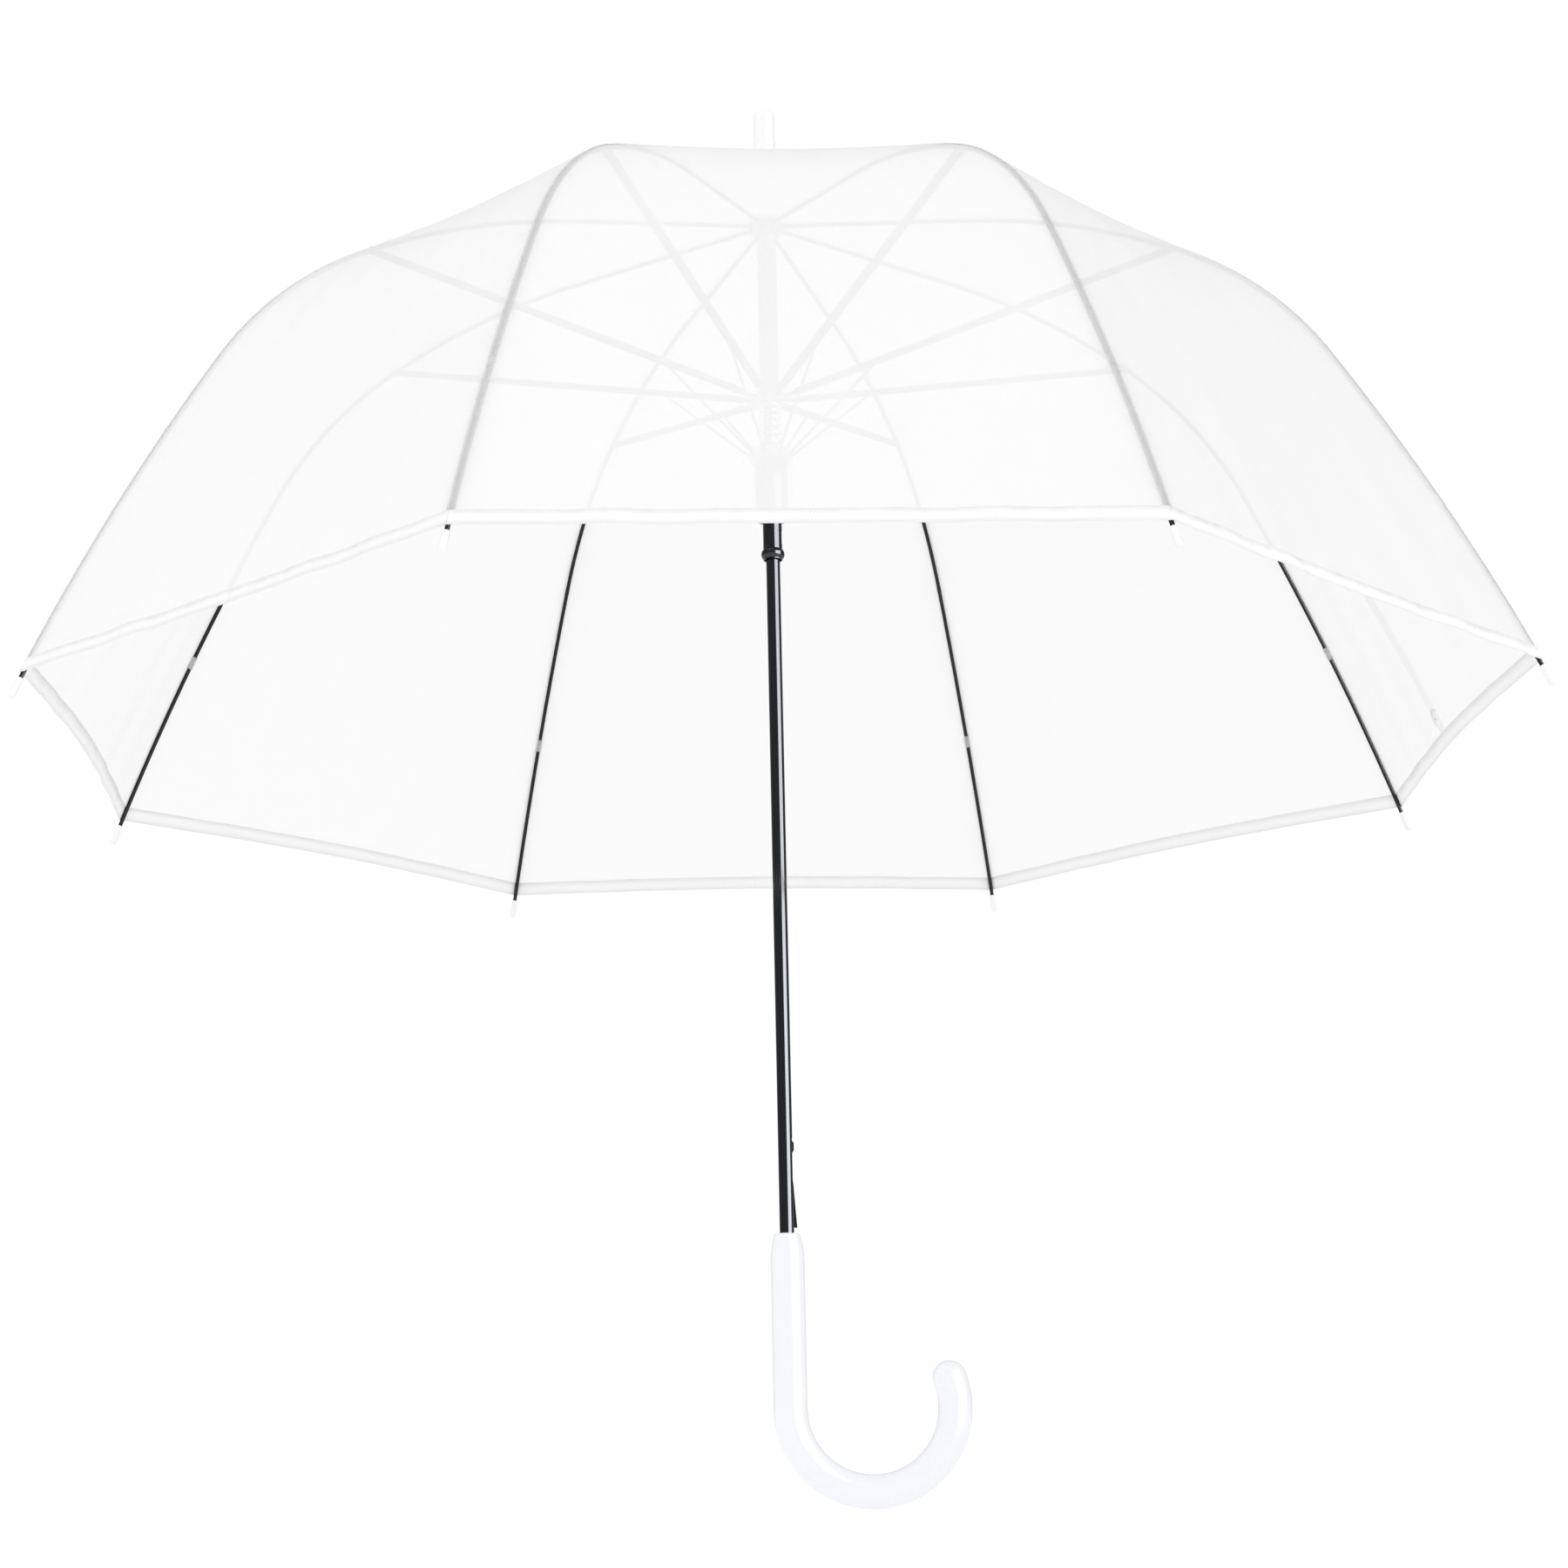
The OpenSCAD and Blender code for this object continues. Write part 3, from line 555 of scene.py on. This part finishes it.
for i in range(1, RIBS + 1):
    for part, span in WELD_SPANS.items():
        under, over = (rib_frame(weld_grid(*span, proud), i) for proud in (WELD_LOW, WELD_HIGH))
        strip(f"weld_{part}_{i}", under, over, welded_film, f"rib_{part}_{i}")
    hoop(f"rib_tie_{i}", rib_frame(tie_rings(), i), strap_film, f"rib_outer_{i}")
print(RIBS * len(WELD_SPANS), "welds and", RIBS, "ties")

# %% [markdown]
# ## Closing strap
# A strap of thicker film lies along one gore, from the knee almost to the hem. A snap half way along it
# and one at its end hold the closed umbrella together. It is 0.5 mm thick and keeps 0.2 mm off the film.

# %% Strap
STRAP_RIB, STRAP_HAND = 3, -1
STRAP_START, STRAP_END, STRAP_ROWS = 266 * MM, 566 * MM, 60
STRAP_HALF, STRAP_LOW, STRAP_HIGH = 5 * MM, 0.2 * MM, 0.7 * MM
# The share of the half gore's width where the strap starts, how much further across it goes, and over
# what length.
STRAP_FROM, STRAP_SHIFT, STRAP_EASE = 0.40, 0.53, 110 * MM


def strap_side(along):
    """How far across the gore the strap's middle lies: it leaves from near the rib and eases toward the
    gore's middle, as 1 - exp(-distance)."""
    return STRAP_FROM + STRAP_SHIFT * (1 - np.exp(-(along - STRAP_START) / STRAP_EASE))


def strap_grid(proud):
    """The film's surface, raised by proud, along a band of even width about the strap's middle line."""
    along = np.linspace(STRAP_START, STRAP_END, STRAP_ROWS)[:, None]
    chord = rib_line(along)[0] * math.sin(HALF)
    side = strap_side(along) + np.linspace(1, -1, 5)[None, :] * STRAP_HALF / chord
    phase = phases[STRAP_RIB - 1, (STRAP_HAND + 1) // 2]
    return rib_frame(film_point(along, np.clip(side, 0, 1), STRAP_HAND, proud, phase), STRAP_RIB)


strap = strip("closing_strap", strap_grid(STRAP_LOW), strap_grid(STRAP_HIGH), strap_film,
              f"rib_outer_{STRAP_RIB}")
gather(strap)
print("strap %.0f mm long" % ((STRAP_END - STRAP_START) / MM))

# %% [markdown]
# ## Snaps
# A snap is a pressed button: a flange, a groove round its foot and a low dome. It is turned like a bowl on
# a lathe, from a profile, and set square to the film. The film's normal there is the cross product of two
# short steps over it, one along the rib and one across.

# %% Snaps
SNAPS = {"snap_socket": 415 * MM, "snap_stud": 557 * MM}
SNAP_SIDES, SNAP_GAP = 28, 0.4 * MM
STEP_ALONG, STEP_ACROSS = 2 * MM, 0.02
# (radius, height) in mm, from below the flange up to the middle of the dome.
SNAP_PROFILE = [(0.6, -1.2), (6.0, -1.2), (6.2, -0.9), (6.2, -0.7), (5.6, 0.7), (5.3, 1.3), (4.4, 1.5),
                (3.9, 1.2), (3.5, 1.5), (2.0, 2.1), (0.6, 2.3)]


def dome(name, centre, normal, profile):
    """A turned button: a profile of (radius, height) pairs in mm, spun about a normal at a centre."""
    across = normal.orthogonal().normalized()
    beside = normal.cross(across)
    turn = circle(SNAP_SIDES)
    ring = np.outer(np.cos(turn), across) + np.outer(np.sin(turn), beside)
    rings = np.array([np.array(centre) + ring * r * MM + np.array(normal) * h * MM for r, h in profile])
    # From the top down, so that the faces point outwards.
    return tube(name, rings[::-1], satin_acetal, f"rib_outer_{STRAP_RIB}")


for name, at in SNAPS.items():
    side = float(strap_side(at))
    spots = [Vector(rib_frame(film_point(at + da, side + ds, STRAP_HAND, SNAP_GAP), STRAP_RIB))
             for da, ds in ((0, 0), (STEP_ALONG, 0), (0, STEP_ACROSS))]
    normal = (spots[1] - spots[0]).cross(spots[2] - spots[0]).normalized()
    # Outward on the dome is upward.
    normal = normal if normal.z > 0 else -normal
    snap = dome(name, spots[0], normal, SNAP_PROFILE)
    gather(snap)
print(len(SNAPS), "snaps of", len(SNAP_PROFILE), "rings")

# %% [markdown]
# ## Opening spring
# Between the two runners a coil spring pushes the upper one up. The imported spring is a coarse mesh, so a
# round wire with closed end coils stands for it.

# %% Spring
WIRE, WIRE_SIDES = 0.6 * MM, 12
COILS, PER_COIL = 13, 36
CLOSE_UP = 0.035


def spring_rings():
    """A helix: the angle grows evenly with t, and the height as t - c sin(2 pi t), which is slower at both
    ends, where the coils close up. Each ring is a circle in the plane of the axis and the wire."""
    lo, hi = (np.array(corner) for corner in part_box("main_spring"))
    radius = (hi[0] - lo[0]) / 2 - WIRE
    t = np.linspace(0, 1, COILS * PER_COIL)
    eased = t - CLOSE_UP * np.sin(2 * math.pi * t)
    angle = 2 * math.pi * COILS * t
    height = lo[2] + WIRE + (hi[2] - lo[2] - 2 * WIRE) * eased
    outward = np.stack([np.cos(angle), np.sin(angle), np.zeros_like(t)], -1)
    upward = np.array([0, 0, 1.0])
    turn = circle(WIRE_SIDES)[None, :, None]
    middle = outward * radius + height[:, None] * upward
    return middle[:, None] + WIRE * (np.cos(turn) * outward[:, None] + np.sin(turn) * upward)


# From the top down, so that the faces point outwards.
spring = tube("opening_spring", spring_rings()[::-1], bright_zinc, "runner")
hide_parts("main_spring")
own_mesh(spring)

# %% [markdown]
# ## Sheath of the lower runner
# The lower runner's sleeve is dressed with a thin rolled tube of the same black nickel as the shaft, so
# that it stands out darker below the pearl grey rim. Both its mouths are turned in.

# %% Sheath
ROUND_SIDES = 64
# (radius, height above the sleeve's foot) in mm: the lower mouth, up the outside, the upper mouth.
SHEATH_SECTION = [(8.8, 0.6), (9.0, 0.1), (9.3, 0.0), (9.5, 0.3),
                  (9.5, 35.9), (9.3, 36.2), (9.0, 36.2), (8.8, 35.8)]


def sheath_rings():
    """The sheath's section turned about the shaft: each of its points becomes a circle."""
    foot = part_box("lower_runner")[0][2]
    turn = circle(ROUND_SIDES)
    ring = np.stack([np.cos(turn), np.sin(turn), np.zeros_like(turn)], -1)
    return np.array([ring * r * MM + [0, 0, foot + h * MM] for r, h in SHEATH_SECTION])


hoop("runner_sheath", sheath_rings(), black_nickel, "lower_runner")
print("sheath of", len(SHEATH_SECTION), "rings of", ROUND_SIDES, "points")

# %% [markdown]
# ## Crook handle
# A crook is one moulding: a rounded mouth round the shaft, a straight grip, a bend and a ball end. It is
# a circle carried along a line. The circle's radius grows through the mouth and shrinks to nothing over
# the ball, and the line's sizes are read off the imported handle's box.

# %% Sizes of the handle
SWEEP = math.radians(200)
MOUTH, MOUTH_RADIUS, LIP = 15 * MM, 6.9 * MM, 0.8 * MM
# (radius, height) of the rings inside the mouth, where the shaft goes in.
BORE = 4.06 * MM
BORE_RINGS = [(BORE, -3 * MM), (BORE, -0.3 * MM), (BORE + 0.3 * MM, 0)]
# The least value of a squared radius, so that the ball's last ring closes to a point and is still a ring.
POINT = 1e-12
print("mouth %.1f mm across, crook bent by %.0f degrees" % (2 * MOUTH_RADIUS / MM, math.degrees(SWEEP)))

# %% Handle
def handle_rings():
    """Rings along the crook. The line runs down the grip, then round an arc, then straight on for the
    ball's radius. The radius is an ogive in the mouth, sqrt(R^2 - d^2) - (R - r) at d short of the mouth's
    end, less a quarter circle for the lip, and on the ball it is sqrt(r^2 - d^2) at d past its middle."""
    lo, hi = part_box("handle")
    thick = -lo[0]
    bend = (hi[0] - thick) / 2
    grip = -lo[2] - bend - thick
    ogive = ((thick - MOUTH_RADIUS) ** 2 + MOUTH ** 2) / (2 * (thick - MOUTH_RADIUS))
    total = grip + bend * SWEEP
    ball = thick * np.sin(np.linspace(0, math.pi / 2, 16))[1:]
    t = np.concatenate([
        LIP * np.linspace(0, 1, 6) ** 2,
        np.linspace(LIP, MOUTH, 14)[1:],
        np.linspace(MOUTH, grip, 16)[1:],
        np.linspace(grip, total, 90)[1:],
        total + ball,
    ])
    swelling = np.sqrt(ogive ** 2 - np.clip(MOUTH - t, 0, None) ** 2) - (ogive - thick)
    radius = np.where(t < MOUTH, swelling, thick)
    radius = radius - LIP * (1 - np.sqrt(np.clip(1 - (1 - t / LIP).clip(0) ** 2, 0, 1)))
    rounding = np.sqrt(np.clip(thick ** 2 - (t - total) ** 2, POINT, None))
    radius = np.where(t > total, rounding, radius)
    turn = np.clip((t - grip) / bend, 0, SWEEP)
    past = np.clip(t - total, 0, None)
    heading = np.stack([np.sin(turn), -np.cos(turn)], -1)
    x = np.where(t < grip, 0, bend * (1 - np.cos(turn))) + past * heading[:, 0]
    z = np.where(t < grip, -t, -grip - bend * np.sin(turn)) + past * heading[:, 1]
    across = np.stack([-heading[:, 1], np.zeros_like(t), heading[:, 0]], -1)
    spin = circle(ROUND_SIDES)[None, :, None]
    ring = np.cos(spin) * across[:, None] + np.sin(spin) * np.array([0, 1.0, 0])
    rings = np.stack([x, np.zeros_like(t), z], -1)[:, None] + radius[:, None, None] * ring
    bore = np.array([ring[0] * r + [0, 0, h] for r, h in BORE_RINGS])
    return np.concatenate([bore, rings])


handle = tube("crook_handle", handle_rings(), glossy_abs, "frame")
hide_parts("handle")

# %% [markdown]
# ## Floor and room
# The umbrella hangs over a matt, nearly white floor in a white studio. White light comes from all round,
# so the film and the white plastic have hardly any shade. Polished metal needs something dark to mirror,
# so to mirror rays the room is dim: the world mixes two backgrounds by the kind of ray that asks.

# %% Floor
floor_mesh = bpy.data.meshes.new("studio_floor")
FLOOR_Z, FLOOR_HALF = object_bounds()[0][2] - 0.10, 12.0
corners = [(x * FLOOR_HALF, y * FLOOR_HALF, FLOOR_Z) for x, y in ((-1, -1), (1, -1), (1, 1), (-1, 1))]
floor_mesh.from_pydata(corners, [], [(0, 1, 2, 3)])
floor = bpy.data.objects.new("studio_floor", floor_mesh)
bpy.context.scene.collection.objects.link(floor)
# Rolled matt emulsion paint: no gloss, and a roller's stipple of 3 mm.
paint = surface("matt_floor_paint", ("#F8F8F8", "#FCFCFC"), blotch=400 * MM, rough=0.75, patch=100 * MM,
                grain=3 * MM, depth=0.1 * MM, Specular_IOR_Level=0.0)
floor_mesh.materials.append(paint)
print("floor at %.3f m" % FLOOR_Z)

# %% World
ROOM_STRENGTH, MIRRORED_STRENGTH = 1.03, 0.32
world = bpy.data.worlds.new("white_studio")
bpy.context.scene.world = world
world.use_nodes = True
sky = world.node_tree
sky.nodes.clear()
path = add(sky, "LightPath")
white = add(sky, "Background", {"Color": (1, 1, 1, 1), "Strength": ROOM_STRENGTH})
dim = add(sky, "Background", {"Color": (0.93, 0.96, 1, 1), "Strength": MIRRORED_STRENGTH})
room = add(sky, "MixShader", {0: path.outputs["Is Glossy Ray"], 1: white.outputs[0], 2: dim.outputs[0]})
add(sky, "OutputWorld", {"Surface": room.outputs[0]})
print("room", world.name, "of strength", ROOM_STRENGTH, "and in mirrors", MIRRORED_STRENGTH)

# %% [markdown]
# ## Lights
# A broad bright panel stands at the right like a window. It is for mirrors only: it draws the bright line
# down the shaft and the glints on the fittings, and leaves the even light on the film alone. A weak soft
# panel above gives the white plastic a little shape.

# %% Lights
def panel(name, place, target, width, height, power, mirror_only=False):
    """A soft panel that faces a target. One that is for mirrors only lights no matt surface."""
    light = bpy.data.lights.new(name, "AREA")
    light.shape = "RECTANGLE"
    light.size, light.size_y = width, height
    light.energy = power
    lamp = bpy.data.objects.new(name, light)
    bpy.context.scene.collection.objects.link(lamp)
    lamp.location = place
    lamp.rotation_euler = (Vector(target) - Vector(place)).to_track_quat("-Z", "Y").to_euler()
    lamp.visible_camera = False
    lamp.visible_diffuse = not mirror_only
    return lamp


panel("tall_window", place=(1.95, -1.55, 0.7), target=(0, 0, 0.25), width=2.6, height=2.6, power=240,
      mirror_only=True)
panel("soft_top", place=(-0.8, -1.0, 2.4), target=(0, 0, 0.3), width=2.0, height=2.0, power=6)
print("lights:", [light.name for light in bpy.data.lights])

# %% [markdown]
# ## Camera
# The camera looks up at the open dome from a little below its rim, through the near side, so that ribs,
# struts and runners all show. A long lens from nearly two metres keeps the dome's outline true. The
# camera's own axes, right, up and back, are worked out as vectors and become the columns of its matrix.

# %% Camera
AZIMUTH, BELOW, ROLL = math.radians(-2.68), math.radians(14.03), math.radians(-1.22)
DISTANCE, AIM_HEIGHT, AIM_RIGHT = 1.851, 0.2556, 3.6 * MM
SENSOR, FOCAL = 36, 74.5
right = Vector((math.cos(AZIMUTH), math.sin(AZIMUTH), 0))
level = Vector((math.sin(AZIMUTH), -math.cos(AZIMUTH), 0))
back = level * math.cos(BELOW) - Vector((0, 0, math.sin(BELOW)))
up = back.cross(right)
place = Vector((0, 0, AIM_HEIGHT)) + right * AIM_RIGHT + back * DISTANCE
rolled_right = right * math.cos(ROLL) + up * math.sin(ROLL)
rolled_up = up * math.cos(ROLL) - right * math.sin(ROLL)
lens = bpy.data.cameras.new("studio_camera")
lens.sensor_width, lens.lens = SENSOR, FOCAL
camera = bpy.data.objects.new("studio_camera", lens)
bpy.context.scene.collection.objects.link(camera)
turned = Matrix((rolled_right, rolled_up, back)).transposed().to_4x4()
camera.matrix_world = Matrix.Translation(place) @ turned
bpy.context.scene.camera = camera
bpy.context.scene.view_settings.view_transform = "Standard"
print("camera at", [round(v, 3) for v in place])
